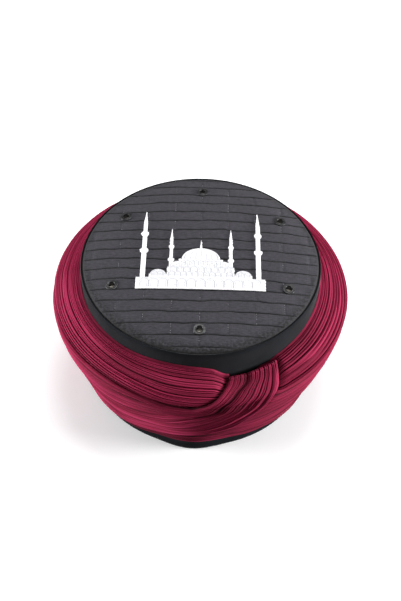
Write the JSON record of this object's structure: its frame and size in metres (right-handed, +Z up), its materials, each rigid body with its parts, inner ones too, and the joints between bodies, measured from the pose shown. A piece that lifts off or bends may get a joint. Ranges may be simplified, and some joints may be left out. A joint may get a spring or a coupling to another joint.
{
  "type": "turban",
  "caption": "Wound turban: a stiff round cap with a quilted, embroidered top, and a thick pleated cloth wound round it with one fold crossing over at the front.",
  "frame": {"origin": "centre of the rim that the cap stands on, at the bottom", "axes": "+Z up through the quilted top; -Y is the front, where the fold crosses over just to the right of it"},
  "size_m": [0.2342, 0.2361, 0.1265],
  "materials": {
    "band_cloth": "matt plain black cotton",
    "panel_cloth": "matt dark grey quilted cotton",
    "felt": "light felt",
    "black_metal": "satin black enamel",
    "white_thread": "white satin stitch",
    "burgundy_cloth": "finely pleated burgundy cotton"
  },
  "bodies": {
    "root": {"side_band": "band_cloth", "top_panel": "panel_cloth", "panel_backing": "felt", "eyelet_1": "black_metal", "eyelet_2": "black_metal", "eyelet_3": "black_metal", "eyelet_4": "black_metal", "eyelet_5": "black_metal", "eyelet_6": "black_metal", "embroidery": "white_thread", "wound_cloth": "burgundy_cloth", "crossing_fold": "burgundy_cloth"}
  },
  "joints": []
}
